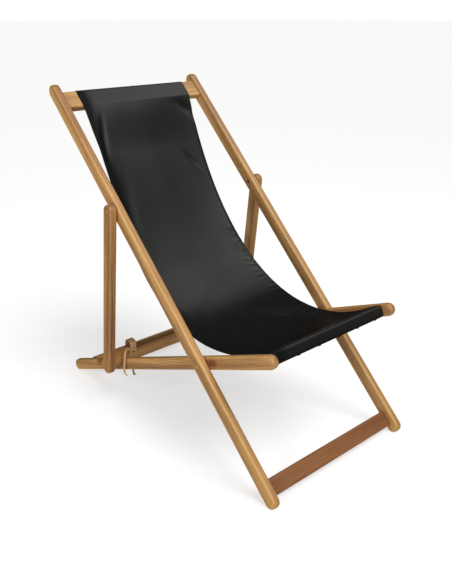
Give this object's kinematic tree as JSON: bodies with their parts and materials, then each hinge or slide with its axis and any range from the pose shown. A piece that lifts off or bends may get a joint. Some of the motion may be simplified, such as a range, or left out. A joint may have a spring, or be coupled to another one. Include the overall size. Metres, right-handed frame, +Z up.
{
  "type": "folding deck chair",
  "caption": "Wooden folding deck chair with a back frame, a seat frame, a notched recline prop and a hanging cloth sling between its top and front rails.",
  "frame": {"origin": "on the floor, under the middle of the bounding box", "axes": "+Z up, the sitter faces -Y, +X at the sitter's left"},
  "size_m": [0.612, 1.0366, 0.9971],
  "materials": {
    "wood": "oiled, satin, light brown hardwood",
    "dark_wood": "oiled, satin, darker red-brown hardwood",
    "plug_wood": "oiled end grain",
    "cloth": "plain woven canvas, charcoal black, hemmed",
    "leather": "natural tan, matt",
    "steel": "zinc plated",
    "brass": "aged"
  },
  "bodies": {
    "back_frame": {"back_rail_left": "wood", "back_rail_right": "wood", "top_rail": "wood", "foot_slat": "dark_wood", "sling": "cloth", "main_pivot_bolt_left": "steel", "main_pivot_bolt_right": "steel", "main_pivot_washer_left": "steel", "main_pivot_washer_right": "steel", "main_pivot_nut_left": "steel", "main_pivot_nut_right": "steel", "prop_pivot_bolt_left": "steel", "prop_pivot_bolt_right": "steel", "prop_pivot_washer_left": "steel", "prop_pivot_washer_right": "steel", "prop_pivot_nut_left": "steel", "prop_pivot_nut_right": "steel", "main_pivot_plug_left": "plug_wood", "main_pivot_plug_right": "plug_wood", "top_tack_1": "brass", "top_tack_2": "brass", "top_tack_3": "brass", "top_tack_4": "brass", "top_tack_5": "brass", "top_tack_6": "brass"},
    "seat_frame": {"seat_rail_left": "wood", "seat_rail_right": "wood", "front_rail": "wood", "rear_stretcher": "wood", "front_tack_1": "brass", "front_tack_2": "brass", "front_tack_3": "brass", "front_tack_4": "brass", "front_tack_5": "brass", "front_tack_6": "brass"},
    "prop_frame": {"prop_arm_left": "wood", "prop_arm_right": "wood", "prop_bar": "dark_wood", "prop_pivot_plug_left": "plug_wood", "prop_pivot_plug_right": "plug_wood", "strap_band": "leather", "strap_stud": "brass", "strap_tail_outer": "leather", "strap_tail_inner": "leather"}
  },
  "joints": [
    {"name": "seat_fold", "type": "hinge", "parent": "back_frame", "child": "seat_frame", "pos_m": [0, -0.21195, 0.30538], "axis": [1, 0, 0], "range_deg": [-13.4, 67], "deforming": ["sling"]},
    {"name": "prop_swing", "type": "hinge", "parent": "back_frame", "child": "prop_frame", "pos_m": [0, 0.15362, 0.67095], "axis": [1, 0, 0], "range_deg": [0, 128]}
  ]
}
